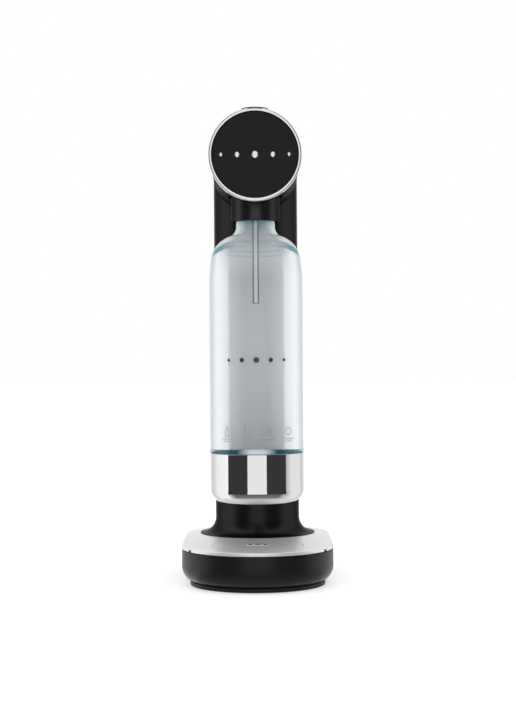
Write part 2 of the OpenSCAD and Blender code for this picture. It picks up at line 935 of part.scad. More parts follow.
base_shell();
base_plate();
rubber_feet();
base_screws();
column_shell();
spine();
column_screws();
head_shell();
front_disc();
trim_ring();
emblem_dots();
disc_carrier();
head_frame();
gas_manifold();
manifold_seal();
relief_valve();
gas_hose();
hose_fittings();
button_bezel();
lever_pivot_pin();
holder_pivot_pins();
frame_screws();
cylinder_cradle();
cradle_pad();
cover_magnets();
button_cap();
button_inlay();
button_stem();
button_spring();
lever_arm();
lever_pad();
valve_pin();
bottle_holder();
neck_seal();
nozzle_holder();
nozzle();
bottle_body();
bottle_cup();
co2_cylinder();
cylinder_valve();
rear_cover();
cover_keepers();
drip_tray();
tray_mark();
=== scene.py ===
"""Looks of the soda carbonator: visible shells, bottle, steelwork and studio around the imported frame.

Metres, +Z up, front is -Y. Places and main sizes come from the boxes of the CAD nodes, and small
details are set in millimetres.
"""

import math

import bmesh
import bpy
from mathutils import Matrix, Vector


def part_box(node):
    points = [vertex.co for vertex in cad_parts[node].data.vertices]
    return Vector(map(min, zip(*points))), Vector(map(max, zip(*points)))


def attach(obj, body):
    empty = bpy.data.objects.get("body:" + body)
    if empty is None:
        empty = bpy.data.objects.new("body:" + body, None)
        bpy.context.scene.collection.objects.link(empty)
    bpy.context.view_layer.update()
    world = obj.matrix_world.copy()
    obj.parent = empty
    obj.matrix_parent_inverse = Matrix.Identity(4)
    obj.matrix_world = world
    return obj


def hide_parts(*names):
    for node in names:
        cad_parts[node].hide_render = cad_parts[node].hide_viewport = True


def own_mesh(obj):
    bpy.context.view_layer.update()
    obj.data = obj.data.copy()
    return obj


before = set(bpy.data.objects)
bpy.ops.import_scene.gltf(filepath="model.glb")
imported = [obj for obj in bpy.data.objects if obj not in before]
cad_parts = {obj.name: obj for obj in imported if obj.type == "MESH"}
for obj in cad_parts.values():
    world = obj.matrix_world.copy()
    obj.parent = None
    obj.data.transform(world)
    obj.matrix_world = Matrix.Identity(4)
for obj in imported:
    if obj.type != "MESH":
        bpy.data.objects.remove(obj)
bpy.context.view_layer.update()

MM = 0.001
GAP = 0.3 * MM
STAND, BUTTON, HOLDER, BOTTLE, COVER, TRAY = (
    "stand", "button", "holder", "bottle", "back_cover", "tray")

# Driving dimensions, read from the frame
BASE_LO, BASE_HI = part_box("base_shell")
BASE_R = BASE_HI.x
BASE_HALF = BASE_HI.y - BASE_R
PLATE_LO, PLATE_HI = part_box("base_plate")
TRAY_LO, TRAY_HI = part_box("drip_tray")
TRAY_TOP = TRAY_HI.z
COLUMN_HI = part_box("column_shell")[1]
COVER_LO, COVER_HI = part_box("rear_cover")
TUBE_R = COVER_HI.x
COLUMN_Y = COVER_HI.y - TUBE_R
DISC_LO, DISC_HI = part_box("front_disc")
HEAD_Z = (DISC_LO.z + DISC_HI.z) / 2
HEAD_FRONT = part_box("head_shell")[0].y
RING_LO, RING_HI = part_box("trim_ring")
CUP_LO, CUP_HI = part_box("bottle_cup")
BOTTLE_LO, BOTTLE_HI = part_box("bottle_body")
BOTTLE_Y = (CUP_LO.y + CUP_HI.y) / 2
COLLAR_LO, COLLAR_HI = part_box("bottle_holder")
NOZZLE_LO, NOZZLE_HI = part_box("nozzle")
BEZEL_LO, BEZEL_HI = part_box("button_bezel")
CAP_LO, CAP_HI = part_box("button_cap")
INLAY_LO, INLAY_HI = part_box("button_inlay")
DOTS_LO, DOTS_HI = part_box("emblem_dots")
WALL = 2.5 * MM
TUBE_IN = TUBE_R - WALL
RIDGES = [BOTTLE_HI.z - drop * MM for drop in (43.5, 39.8, 31.4)]


# ---------------- camera

def make_camera():
    """A long lens straight in front, a little above the middle, with the photo's slight roll."""
    data = bpy.data.cameras.new("camera")
    data.lens = 78.15
    data.sensor_width = 36
    data.shift_y = 0.0042
    camera = bpy.data.objects.new("camera", data)
    camera.location = (1.5 * MM, -1.4838, 0.2070)
    camera.rotation_euler = (math.radians(90), math.radians(0.39), 0)
    bpy.context.scene.collection.objects.link(camera)
    bpy.context.scene.camera = camera


make_camera()


# ---------------- node helpers

def new_material(name, kind="ShaderNodeBsdfPrincipled"):
    material = bpy.data.materials.new(name)
    material.use_nodes = True
    tree = material.node_tree
    tree.nodes.clear()
    output = tree.nodes.new("ShaderNodeOutputMaterial")
    shader = tree.nodes.new(kind)
    tree.links.new(shader.outputs[0], output.inputs["Surface"])
    return material, tree, shader


def place(tree, scale):
    """Object coordinates times scale, so that a texture has its size in the object's own metres."""
    coordinates = tree.nodes.new("ShaderNodeTexCoord")
    mapping = tree.nodes.new("ShaderNodeMapping")
    mapping.inputs["Scale"].default_value = scale
    tree.links.new(coordinates.outputs["Object"], mapping.inputs["Vector"])
    return mapping.outputs["Vector"]


def noise(tree, scale, detail=3.0, rough=0.5):
    node = tree.nodes.new("ShaderNodeTexNoise")
    node.inputs["Scale"].default_value = 1.0
    node.inputs["Detail"].default_value = detail
    node.inputs["Roughness"].default_value = rough
    tree.links.new(place(tree, scale), node.inputs["Vector"])
    return node.outputs["Fac"]


def spread(tree, value, low, high, start=0.3, end=0.7):
    """Turns start to end into low to high. Noise lies mostly between 0.3 and 0.7."""
    node = tree.nodes.new("ShaderNodeMapRange")
    node.inputs["From Min"].default_value = start
    node.inputs["From Max"].default_value = end
    node.inputs["To Min"].default_value = low
    node.inputs["To Max"].default_value = high
    tree.links.new(value, node.inputs["Value"])
    return node.outputs["Result"]


def blend(tree, factor, first, second):
    """From first to second, each a colour or another node's output."""
    node = tree.nodes.new("ShaderNodeMix")
    node.data_type = "RGBA"
    tree.links.new(factor, node.inputs["Factor"])
    for name, value in (("A", first), ("B", second)):
        if isinstance(value, bpy.types.NodeSocket):
            tree.links.new(value, node.inputs[name])
        else:
            node.inputs[name].default_value = (*value, 1)
    return node.outputs["Result"]


def turned_away(tree, normal=None):
    """How far the surface, or a normal given for it, turns away."""
    node = tree.nodes.new("ShaderNodeLayerWeight")
    node.inputs["Blend"].default_value = 0.5
    if normal:
        tree.links.new(normal, node.inputs["Normal"])
    return node.outputs["Facing"]


def bump(tree, shader, height, strength, distance):
    node = tree.nodes.new("ShaderNodeBump")
    node.inputs["Strength"].default_value = strength
    node.inputs["Distance"].default_value = distance
    tree.links.new(height, node.inputs["Height"])
    tree.links.new(node.outputs["Normal"], shader.inputs["Normal"])


def plastic(name, colour, rough, grain=900, depth=0.02 * MM, spec=0.5, coat=0.0):
    """Moulded plastic: a fine grain in height and gloss, and a slight drift of colour."""
    material, tree, shader = new_material(name)
    fine = noise(tree, (grain,) * 3, 4.0, 0.6)
    drift = noise(tree, (26, 26, 26), 2.0)
    lighter = [c * 1.12 + 0.0006 for c in colour]
    tree.links.new(blend(tree, drift, colour, lighter), shader.inputs["Base Color"])
    tree.links.new(spread(tree, fine, rough * 0.9, rough * 1.1), shader.inputs["Roughness"])
    shader.inputs["Specular IOR Level"].default_value = spec
    shader.inputs["Coat Weight"].default_value = coat
    shader.inputs["Coat Roughness"].default_value = 0.12
    bump(tree, shader, fine, 0.25, depth)
    return material


def satin(name, colour, rough, metal=0.85, edge=0.0):
    """Satin lacquer that stays dark where it turns away, the more so the lower its edge."""
    material, tree, shader = new_material(name)
    fine = noise(tree, (900, 900, 900), 4.0, 0.6)
    drift = noise(tree, (26, 26, 26), 2.0)
    lighter = [c * 1.12 for c in colour]
    tree.links.new(blend(tree, drift, colour, lighter), shader.inputs["Base Color"])
    tree.links.new(spread(tree, fine, rough * 0.9, rough * 1.1), shader.inputs["Roughness"])
    shader.inputs["Metallic"].default_value = metal
    shader.inputs["Specular IOR Level"].default_value = 0.1
    shader.inputs["Specular Tint"].default_value = (edge, edge, edge, 1)
    bump(tree, shader, fine, 0.2, 0.01 * MM)
    return material


def brushed(name, colour, rough, stretch, depth=0.006 * MM, metal=1.0):
    """Brushed metal: long fine scratches along the axis with the small stretch."""
    material, tree, shader = new_material(name)
    lines = noise(tree, stretch, 5.0, 0.62)
    cloud = noise(tree, (34, 34, 34), 2.0)
    darker = [c * 0.9 for c in colour]
    tree.links.new(blend(tree, lines, darker, colour), shader.inputs["Base Color"])
    shader.inputs["Metallic"].default_value = metal
    mixed = tree.nodes.new("ShaderNodeMath")
    mixed.operation = "ADD"
    tree.links.new(spread(tree, lines, rough * 0.8, rough * 1.15), mixed.inputs[0])
    tree.links.new(spread(tree, cloud, -0.02, 0.02), mixed.inputs[1])
    tree.links.new(mixed.outputs[0], shader.inputs["Roughness"])
    bump(tree, shader, lines, 0.3, depth)
    return material


def polished(name, colour, rough=0.04):
    """Polished metal with a trace of handling marks in its gloss."""
    material, tree, shader = new_material(name)
    cloud = noise(tree, (60, 60, 60), 4.0)
    tree.links.new(spread(tree, cloud, rough * 0.7, rough * 1.5), shader.inputs["Roughness"])
    darker = [c * 0.97 for c in colour]
    tree.links.new(blend(tree, cloud, colour, darker), shader.inputs["Base Color"])
    shader.inputs["Metallic"].default_value = 1.0
    return material


HOUSING = plastic("housing_black", (0.0065, 0.0065, 0.0067), 0.3, spec=0.3)
HEAD_BLACK = satin("head_black", (0.028, 0.028, 0.0285), 0.4)
COLUMN_BLACK = satin("column_black", (0.028, 0.028, 0.0285), 0.3, edge=0.4)
DISC = plastic("disc_black", (0.0085, 0.0085, 0.0087), 0.5, grain=1400, depth=0.01 * MM, spec=0.15)
COLLAR = satin("collar_black", (0.045, 0.045, 0.046), 0.3)
UNDERSIDE = plastic("underside_black", (0.007, 0.007, 0.0075), 0.5, grain=500, spec=0.3)
RUBBER = plastic("rubber_black", (0.012, 0.012, 0.012), 0.75, grain=700, depth=0.04 * MM, spec=0.3)
FRAME_GREY = plastic("frame_grey", (0.11, 0.115, 0.125), 0.55, grain=420, depth=0.05 * MM)
FRAME_BLACK = plastic("frame_black", (0.03, 0.03, 0.032), 0.5, grain=500)
BUTTON_BLACK = satin("button_black", (0.02, 0.02, 0.021), 0.4)
CHROME = polished("chrome", (0.86, 0.86, 0.87), 0.06)
CUP_STEEL = polished("cup_steel", (0.88, 0.88, 0.885), 0.035)
TRAY_STEEL = brushed("tray_steel", (0.97, 0.97, 0.97), 0.42, (28, 2600, 2600), metal=0.66)
MARK_STEEL = polished("mark_steel", (0.95, 0.95, 0.95), 0.1)
ETCHED = plastic("etched_steel", (0.60, 0.60, 0.605), 0.7, grain=2500, depth=0.004 * MM, spec=0.3)
DARK_CHROME = satin("dark_chrome", (0.04, 0.04, 0.042), 0.2, metal=1.0)
PIN_STEEL = brushed("pin_steel", (0.58, 0.58, 0.59), 0.25, (900, 900, 60))
LEVER_STEEL = brushed("lever_steel", (0.46, 0.46, 0.48), 0.38, (40, 700, 700))
BRASS = brushed("brass", (0.62, 0.46, 0.20), 0.3, (1200, 1200, 70))
HOSE = plastic("hose_black", (0.03, 0.031, 0.034), 0.6, grain=1200, depth=0.1 * MM)
CYLINDER_PAINT = plastic("cylinder_paint", (0.52, 0.54, 0.57), 0.32, grain=600, coat=0.3)


def grey(level):
    return (level, level, level)


def bottle_clear():
    """Milky clear plastic. Painted shade gives it a blue cast at each side of its shoulder, darker
    edges, a dark line at each ridge, and dark blue at the cup's rim and towards the top of the neck;
    painted light makes the rim pale in its middle. Its wall looks denser where it turns away, and mist
    lies thin on its front half and thick on its back half."""
    material, tree, shader = new_material("bottle_clear")
    coordinates = tree.nodes.new("ShaderNodeTexCoord")
    split = tree.nodes.new("ShaderNodeSeparateXYZ")
    tree.links.new(coordinates.outputs["Object"], split.inputs[0])
    deep, high = split.outputs["Y"], split.outputs["Z"]

    def calc(operation, first, second):
        node = tree.nodes.new("ShaderNodeMath")
        node.operation = operation
        for socket, value in zip(node.inputs, (first, second)):
            if isinstance(value, (int, float)):
                socket.default_value = value
            else:
                tree.links.new(value, socket)
        return node.outputs[0]

    def ranged(value, start, end):
        return spread(tree, value, 0, 1, start, end)

    def ramp(value, stops):
        node = tree.nodes.new("ShaderNodeValToRGB")
        elements = node.color_ramp.elements
        elements[0].position, elements[0].color = stops[0][0], (*stops[0][1], 1)
        elements[1].position, elements[1].color = stops[-1][0], (*stops[-1][1], 1)
        for position, colour in stops[1:-1]:
            elements.new(position).color = (*colour, 1)
        tree.links.new(value, node.inputs["Fac"])
        return node.outputs["Color"]

    def by_height(*stops):
        """Colours up the bottle, each at its height."""
        tall = BOTTLE_HI.z - BOTTLE_LO.z
        return ramp(height, [((z - BOTTLE_LO.z) / tall, colour) for z, colour in stops])

    back = ranged(deep, BOTTLE_Y - 14 * MM, BOTTLE_Y + 14 * MM)
    lean = calc("MULTIPLY", calc("SUBTRACT", deep, BOTTLE_Y), 0.07)
    height = ranged(calc("ADD", high, lean), BOTTLE_LO.z, BOTTLE_HI.z)
    top = BOTTLE_HI.z
    rim_low, rim_high = CUP_HI.z + 1.6 * MM, CUP_HI.z + 2.5 * MM
    # The second colour is painted shade for the wall's edges, where clear plastic bends the light.
    body, edge = (0.90, 0.93, 0.945), (0.56, 0.64, 0.68)
    # Both colours are painted shade: a dark line at each ridge, and dark blue at the cup's rim.
    ridge_shade, rim_shade = (0.40, 0.55, 0.62), (0.16, 0.33, 0.43)

    # How far the wall turns away to the side, whatever its slope
    flat = tree.nodes.new("ShaderNodeVectorMath")
    flat.operation = "MULTIPLY"
    flat.inputs[1].default_value = (1, 1, 0)
    tree.links.new(tree.nodes.new("ShaderNodeNewGeometry").outputs["Normal"], flat.inputs[0])
    level = tree.nodes.new("ShaderNodeVectorMath")
    level.operation = "NORMALIZE"
    tree.links.new(flat.outputs[0], level.inputs[0])
    turned = turned_away(tree, level.outputs[0])

    # Colour: the body's, with painted shade: a line at each ridge, a darker edge, dark blue at the
    # cup's rim and at the top of the neck, and a blue wedge; and painted light: a pale middle of the rim
    across = ((-0.9 * MM, body), (0, ridge_shade), (0.9 * MM, body))
    lines = [(z + step, colour) for z in RIDGES for step, colour in across]
    # Painted shade in this tint: dark blue at the cup's rim, a dark line at each ridge, and darker blue
    # towards the top of the neck.
    tint = by_height((rim_low, rim_shade), (rim_high, body), *lines,
                     (top - 27 * MM, (0.78, 0.86, 0.90)), (top - 15 * MM, (0.36, 0.54, 0.63)))
    edges = by_height((rim_low, rim_shade), (rim_high, edge), (top - 34 * MM, edge), (top - 28 * MM, body))
    colour = blend(tree, ramp(turned, [(0.42, grey(0)), (0.68, grey(0.85))]), tint, edges)
    # Painted shade: a dark blue wedge at each side of the shoulder, where clear plastic bends the light.
    sloping = calc("ADD", high, calc("MULTIPLY", turned, 12 * MM))
    middle, half = top - 36.8 * MM, 3.3 * MM
    wedge = calc("MULTIPLY", ranged(sloping, middle - half - MM, middle - half + MM),
                 ranged(sloping, middle + half + MM, middle + half - MM))
    wedge = calc("MULTIPLY", wedge, ramp(turned, [(0.13, grey(0)), (0.42, grey(1))]))
    colour = blend(tree, wedge, colour, (0.14, 0.29, 0.37))
    # Painted light: the rim's dark blue turns pale in its middle, on the bottle's front half.
    pale = calc("MULTIPLY", ramp(turned, [(0.01, grey(1)), (0.11, grey(0))]),
                by_height((rim_low, grey(1)), (rim_high, grey(0))))
    pale = calc("MULTIPLY", pale, calc("SUBTRACT", 1.0, back))
    colour = blend(tree, pale, colour, (0.75, 0.83, 0.87))
    tree.links.new(colour, shader.inputs["Base Color"])

    def wall_of(front, rear):
        """How dense the wall is as it turns away, in its front half and in its back half."""
        stops = (0.02, 0.185, 0.21, 0.5)
        return blend(tree, back, *(ramp(turned, [(at, grey(v)) for at, v in zip(stops, levels)])
                                   for levels in (front, rear)))

    body_wall = wall_of((0.1, 0.2, 0.5, 0.9), (0.54, 0.64, 0.76, 0.9))
    shoulder_wall = wall_of((0.16, 0.24, 0.26, 0.85), (0.78, 0.82, 0.83, 0.9))
    neck_wall = wall_of((0.14, 0.25, 0.28, 0.7), (0.75, 0.8, 0.82, 0.9))
    wall = blend(tree, ranged(high, top - 68 * MM, top - 47 * MM), body_wall, shoulder_wall)
    wall = blend(tree, ranged(high, top - 36 * MM, top - 30 * MM), wall, neck_wall)
    wall = calc("MAXIMUM", wall, calc("MULTIPLY", wedge, 0.85))
    mist = by_height((rim_low, grey(0.32)), (rim_high, grey(1)))
    wall = calc("MAXIMUM", calc("MULTIPLY", mist, wall), calc("MULTIPLY", pale, 0.5))
    tree.links.new(wall, shader.inputs["Alpha"])
    swirl = noise(tree, (30, 30, 12), 3.0)
    tree.links.new(spread(tree, swirl, 0.05, 0.09), shader.inputs["Roughness"])
    shader.inputs["IOR"].default_value = 1.5
    shader.inputs["Specular IOR Level"].default_value = 0.35
    bump(tree, shader, swirl, 0.05, 0.1 * MM)
    return material


def nozzle_clear():
    """A clear tube: dark at both edges, where it bends the light, and pale down its middle."""
    material, tree, shader = new_material("nozzle_clear")
    edge = spread(tree, turned_away(tree), 0, 1, 0.10, 0.18)
    colour = blend(tree, edge, (0.50, 0.55, 0.575), (0.025, 0.036, 0.043))
    tree.links.new(colour, shader.inputs["Base Color"])
    tree.links.new(spread(tree, noise(tree, (200, 200, 60)), 0.25, 0.35), shader.inputs["Roughness"])
    shader.inputs["Specular IOR Level"].default_value = 0.1
    return material


BOTTLE_CLEAR = bottle_clear()
# Painted shade: the dark blue of the bottle's wall below the cup's rim.
BOTTLE_LOW_SHADE = plastic("bottle_low_shade", (0.06, 0.155, 0.215), 0.12, grain=200, depth=0.005 * MM)
NOZZLE_CLEAR = nozzle_clear()
INK = plastic("ink_dark", (0.03, 0.032, 0.035), 0.4, grain=1500, depth=0.003 * MM)
INK_FAINT = plastic("ink_faint", (0.25, 0.28, 0.30), 0.4, grain=1500, depth=0.003 * MM)


# ---------------- mesh helpers

def arc(cx, cz, r, a0, a1, n=8):
    """Points on an arc, angles in degrees."""
    return [
        (cx + r * math.cos(math.radians(a0 + (a1 - a0) * i / n)),
         cz + r * math.sin(math.radians(a0 + (a1 - a0) * i / n)))
        for i in range(n + 1)]


def dome(r, z, height, angles):
    """Points up a low dome of radius r that starts at height z."""
    return [(r * math.cos(math.radians(t)), z + height * math.sin(math.radians(t))) for t in angles]


def add_object(name, mesh, materials):
    data = bpy.data.meshes.new(name)
    mesh.to_mesh(data)
    mesh.free()
    obj = bpy.data.objects.new(name, data)
    bpy.context.scene.collection.objects.link(obj)
    for material in materials:
        data.materials.append(material)
    return obj


def finished(name, mesh, materials, sharp=32):
    """Cleans a bmesh and makes it an object with its materials, smooth shading and even normals."""
    bmesh.ops.remove_doubles(mesh, verts=mesh.verts, dist=2e-6)
    bmesh.ops.dissolve_degenerate(mesh, edges=mesh.edges, dist=1e-6)
    bmesh.ops.recalc_face_normals(mesh, faces=mesh.faces)
    obj = add_object(name, mesh, materials)
    shade(obj, sharp)
    return obj


def shade(obj, sharp=32):
    obj.data.shade_smooth()
    obj.data.set_sharp_from_angle(angle=math.radians(sharp))
    obj.modifiers.new("even_normals", "WEIGHTED_NORMAL").keep_sharp = True


def bake_modifiers(obj):
    """Applies the object's modifiers to its mesh."""
    graph = bpy.context.evaluated_depsgraph_get()
    data = bpy.data.meshes.new_from_object(obj.evaluated_get(graph))
    obj.modifiers.clear()
    obj.data = data


def cut(obj, cutters, sharp=32):
    """Cuts closed solids out of a piece and removes the cutters."""
    obj.modifiers.clear()
    for cutter in cutters:
        modifier = obj.modifiers.new("cut", "BOOLEAN")
        modifier.object = cutter
        modifier.operation = "DIFFERENCE"
        modifier.solver = "EXACT"
    bake_modifiers(obj)
    for cutter in cutters:
        bpy.data.objects.remove(cutter)
    shade(obj, sharp)


def soften(obj, width, segments):
    """Rounds the sharp edges of a piece."""
    obj.modifiers.clear()
    bevel = obj.modifiers.new("edges", "BEVEL")
    bevel.width = width
    bevel.segments = segments
    bevel.limit_method = "ANGLE"
    bevel.angle_limit = math.radians(50)
    bake_modifiers(obj)
    shade(obj)


def skin(mesh, rings, around=True, along=False, caps=True):
    """Faces between rings of points. around closes each ring, along joins the last to the first."""
    rows = [[mesh.verts.new(p) for p in ring] for ring in rings]
    count = len(rings)
    for i in range(count if along else count - 1):
        a, b = rows[i], rows[(i + 1) % count]
        n = len(a)
        for k in range(n if around else n - 1):
            m = (k + 1) % n
            mesh.faces.new((a[k], a[m], b[m], b[k]))
    if caps and not along:
        mesh.faces.new(rows[0])
        mesh.faces.new(reversed(rows[-1]))


def lathe_rings(profile, to_world, n):
    return [
        [to_world(r * math.cos(2 * math.pi * k / n), r * math.sin(2 * math.pi * k / n), z) for k in range(n)]
        for r, z in profile]


def upright(x, y):
    return lambda a, b, c: Vector((x + a, y + b, c))


def forward(z, x=0):
    """For pieces turned around an axis that points forward: the profile's height is the depth y."""
    return lambda a, b, c: Vector((x + a, c, z + b))


def lathe(name, profile, to_world, materials, n=144, ring=False):
    """A turned piece. With ring its profile is closed, without it flat faces close both its ends."""
    mesh = bmesh.new()
    skin(mesh, lathe_rings(profile, to_world, n), along=ring, caps=not ring)
    return finished(name, mesh, materials)


def track_stations(n=72):
    """(centre y, angle) round a shape with straight sides and round ends."""
    back = [(BASE_HALF, math.pi * k / n) for k in range(n + 1)]
    front = [(-BASE_HALF, math.pi + math.pi * k / n) for k in range(n + 1)]
    return back + front


def track_rings(profile):
    return [
        [Vector((d * math.cos(a), cy + d * math.sin(a), z)) for cy, a in track_stations()]
        for d, z in profile]


def rectangle(x0, y0, x1, y1):
    return [(x0, y0), (x1, y0), (x1, y1), (x0, y1)]


def prism(name, outline, z0, z1, materials):
    mesh = bmesh.new()
    skin(mesh, [[Vector((x, y, z)) for x, y in outline] for z in (z0, z1)])
    return finished(name, mesh, materials)


def cylinder_solid(name, x, y, r, z0, z1, n=128):
    return lathe(name, [(r, z0), (r, z1)], upright(x, y), [], n)


def belongs(obj, body, slot, *nodes):
    """Rides the piece on its body and hides the CAD nodes that it stands for. The slot, its finish's name, is
    not used.
    """
    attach(obj, body)
    if nodes:
        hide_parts(*nodes)


# ---------------- base

FOOT_TOP = BASE_LO.z
WALL_BREAK = 18 * MM
FOOT_R = PLATE_HI.x
WALL_TOP = TRAY_TOP - 1.4 * MM
NOTCH_X = 61.4 * MM
DECK_TOP = TRAY_LO.z - GAP
WELL_R = 34 * MM
PLINTH_R = 46 * MM
PAST = 10 * MM  # how far a cutter reaches past what it cuts


def base_side(inset):
    """The base's side from its lower edge up to where it turns vertical, moved in by inset."""
    drop = WALL_BREAK - FOOT_TOP
    lean = BASE_R - FOOT_R - 0.5 * MM
    r = (drop * drop + lean * lean) / (2 * lean)
    start = -math.degrees(math.asin(drop / r))
    return arc(BASE_R - r, WALL_BREAK, r - inset, start, 0, 14)


def make_base():
    outer, inner = base_side(0), base_side(WALL)
    edge = 0.5 * MM
    profile = [(BASE_R - WALL, DECK_TOP - WALL)] + list(reversed(inner))
    profile += [(outer[0][0] - edge, FOOT_TOP), (outer[0][0] - edge * 0.3, FOOT_TOP + edge * 0.25)]
    profile += outer[1:]
    profile += arc(BASE_R - edge, WALL_TOP - edge, edge, 0, 90, 4)
    profile += [(BASE_R - WALL, WALL_TOP), (BASE_R - WALL, DECK_TOP)]
    mesh = bmesh.new()
    skin(mesh, track_rings(profile))
    base = finished("base_body", mesh, [HOUSING])
    reach = BASE_R + PAST
    room = rectangle(-reach, -BASE_HALF - reach, reach, -BASE_HALF + GAP)
    lip_room = prism("lip_room", room, DECK_TOP, DECK_TOP + 2 * PAST, [])
    well = cylinder_solid("well", 0, COLUMN_Y, WELL_R, DECK_TOP - 2 * PAST, DECK_TOP + 2 * PAST)
    cut(base, [lip_room, well])
    belongs(base, STAND, "housing", "base_shell")


def block_outline(r, back_r, n=48):
    """Round in front at radius r about the column, straight to the back, and cut by the base's round end."""
    reach = math.degrees(math.acos(r / back_r))
    return arc(0, COLUMN_Y, r, 180, 360, n) + arc(0, BASE_HALF, back_r, reach, 180 - reach, n)


def make_plinth():
    """The block that the column stands on, which fills the slot in the tray."""
    outline = block_outline(PLINTH_R, BASE_R - 0.4 * MM)
    plinth = prism("column_plinth", outline, DECK_TOP, TRAY_TOP, [HOUSING])
    cut(plinth, [cylinder_solid("well", 0, COLUMN_Y, WELL_R, DECK_TOP - PAST, TRAY_TOP + PAST)])
    soften(plinth, 0.4 * MM, 3)
    belongs(plinth, STAND, "housing")


def make_base_plate():
    rim = PLATE_LO.z - 0.4 * MM
    groove = FOOT_TOP - 0.9 * MM
    profile = [(FOOT_R - 4 * MM, FOOT_TOP), (FOOT_R - 4 * MM, rim + 0.3 * MM), (FOOT_R - 3.6 * MM, rim)]
    profile += arc(FOOT_R - 0.5 * MM, rim + 0.5 * MM, 0.5 * MM, -90, 0, 5)
    profile += arc(FOOT_R - 0.4 * MM, groove - 0.4 * MM, 0.4 * MM, 0, 90, 3)
    profile += [(FOOT_R - 2.2 * MM, groove), (FOOT_R - 2.2 * MM, PLATE_HI.z)]
    mesh = bmesh.new()
    skin(mesh, track_rings(profile))
    plate = finished("foot_plate", mesh, [UNDERSIDE])
    half_long, half_wide = 24 * MM, 1.5 * MM
    slots = [rectangle(-half_long, y * MM - half_wide, half_long, y * MM + half_wide)
             for y in (-60, -40, -20, 0)]
    cut(plate, [prism("slot", slot, 0, PLATE_HI.z + PAST, []) for slot in slots])
    belongs(plate, STAND, "underside", "base_plate")


def make_feet():
    lo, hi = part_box("rubber_feet")
    r = 10 * MM
    mesh = bmesh.new()
    profile = [(0.4 * r, 0.4 * MM), (0.62 * r, 0.4 * MM), (0.68 * r, 0.1 * MM), (0.72 * r, 0)]
    profile += arc(r - 0.7 * MM, 0.7 * MM, 0.7 * MM, -90, 0, 4) + [(r, hi.z)]
    for x in (lo.x + r, hi.x - r):
        for y in (lo.y + r, hi.y - r):
            skin(mesh, lathe_rings(profile, upright(x, y), 64))
    belongs(finished("feet", mesh, [RUBBER]), STAND, "rubber", "rubber_feet")


# ---------------- tray

SHEET = 1.1 * MM
NOTCH = 2.4 * MM
SLOT_R = PLINTH_R + GAP
ETCH_IN, ETCH_OUT, ETCH_DEPTH = 41.4 * MM, 42.4 * MM, 0.3 * MM


def tray_stations(n=120):
    """Round the tray's outer edge from right rear to left rear: centre y, angle, whether it is on the
    round front, and whether the lip is rolled down there."""
    reach = math.acos(SLOT_R / BASE_R)
    notch_angle = math.acos(NOTCH_X / BASE_R)
    half = NOTCH / 2 / (BASE_R * math.sin(notch_angle))
    notches = [2 * math.pi - notch_angle, math.pi + notch_angle]
    angles = {2 * math.pi - math.pi * k / n for k in range(n + 1)}
    angles = {a for a in angles if all(abs(a - b) > half for b in notches)}
    steps, tiny = 24, 1e-5
    stations = [(BASE_HALF, reach * (1 - k / steps), False, False) for k in range(steps + 1)]
    front = [(a, True) for a in angles]
    for b in notches:
        front += [(b + half, True), (b + half - tiny, False), (b - half + tiny, False), (b - half, True)]
    stations += [(-BASE_HALF, 2 * math.pi, False, False)]
    stations += [(-BASE_HALF, a, True, rolled) for a, rolled in sorted(front, reverse=True)]
    stations += [(-BASE_HALF, math.pi, False, False)]
    stations += [(BASE_HALF, math.pi - reach * k / steps, False, False) for k in range(steps + 1)]
    return stations


def make_tray():
    """A steel sheet with a slot for the column. It is rolled down all round its front, but for two
    small notches."""
    bottom = TRAY_TOP - SHEET
    lip_in, lip_out = BASE_R - 3.2 * MM, BASE_R - 0.9 * MM
    mesh = bmesh.new()
    grid = []
    for cy, a, front, rolled in tray_stations():
        low = TRAY_LO.z if rolled else bottom
        r = (1.1 if front else 0.6) * MM
        section = [(lip_in - 1 * MM, bottom), (lip_in, bottom), (lip_in, low), (lip_out, low)]
        if front:
            section += [(BASE_R - 0.1 * MM, low + 0.5 * MM * rolled), (BASE_R, low + 0.7 * MM * rolled)]
        else:
            section += [(BASE_R - 0.3 * MM, bottom), (BASE_R, bottom + 0.3 * MM)]
        section += arc(BASE_R - r, TRAY_TOP - r, r, 0, 90, 9)
        grid.append([mesh.verts.new((d * math.cos(a), cy + d * math.sin(a), z)) for d, z in section])
    for a, b in zip(grid, grid[1:]):
        for k in range(len(a) - 1):
            mesh.faces.new((a[k], b[k], b[k + 1], a[k + 1]))
    inner = arc(0, COLUMN_Y, SLOT_R, 180, 360, 64)
    top_inner = [mesh.verts.new((x, y, TRAY_TOP)) for x, y in inner]
    low_inner = [mesh.verts.new((x, y, bottom)) for x, y in inner]
    for k in range(len(inner) - 1):
        mesh.faces.new((top_inner[k], low_inner[k], low_inner[k + 1], top_inner[k + 1]))
    mesh.faces.new([row[-1] for row in grid] + top_inner)
    mesh.faces.new(list(reversed([row[0] for row in grid] + low_inner)))
    mesh.faces.new(list(reversed(grid[0])) + [low_inner[-1], top_inner[-1]])
    mesh.faces.new(list(grid[-1]) + [top_inner[0], low_inner[0]])
    tray = finished("tray_plate", mesh, [TRAY_STEEL], 40)
    groove = rectangle(ETCH_IN, TRAY_TOP - ETCH_DEPTH, ETCH_OUT, TRAY_TOP + 5 * MM)
    cut(tray, [lathe("groove", groove, upright(0, BOTTLE_Y), [], 160, ring=True)], 40)
    belongs(tray, TRAY, "tray_steel", "drip_tray")


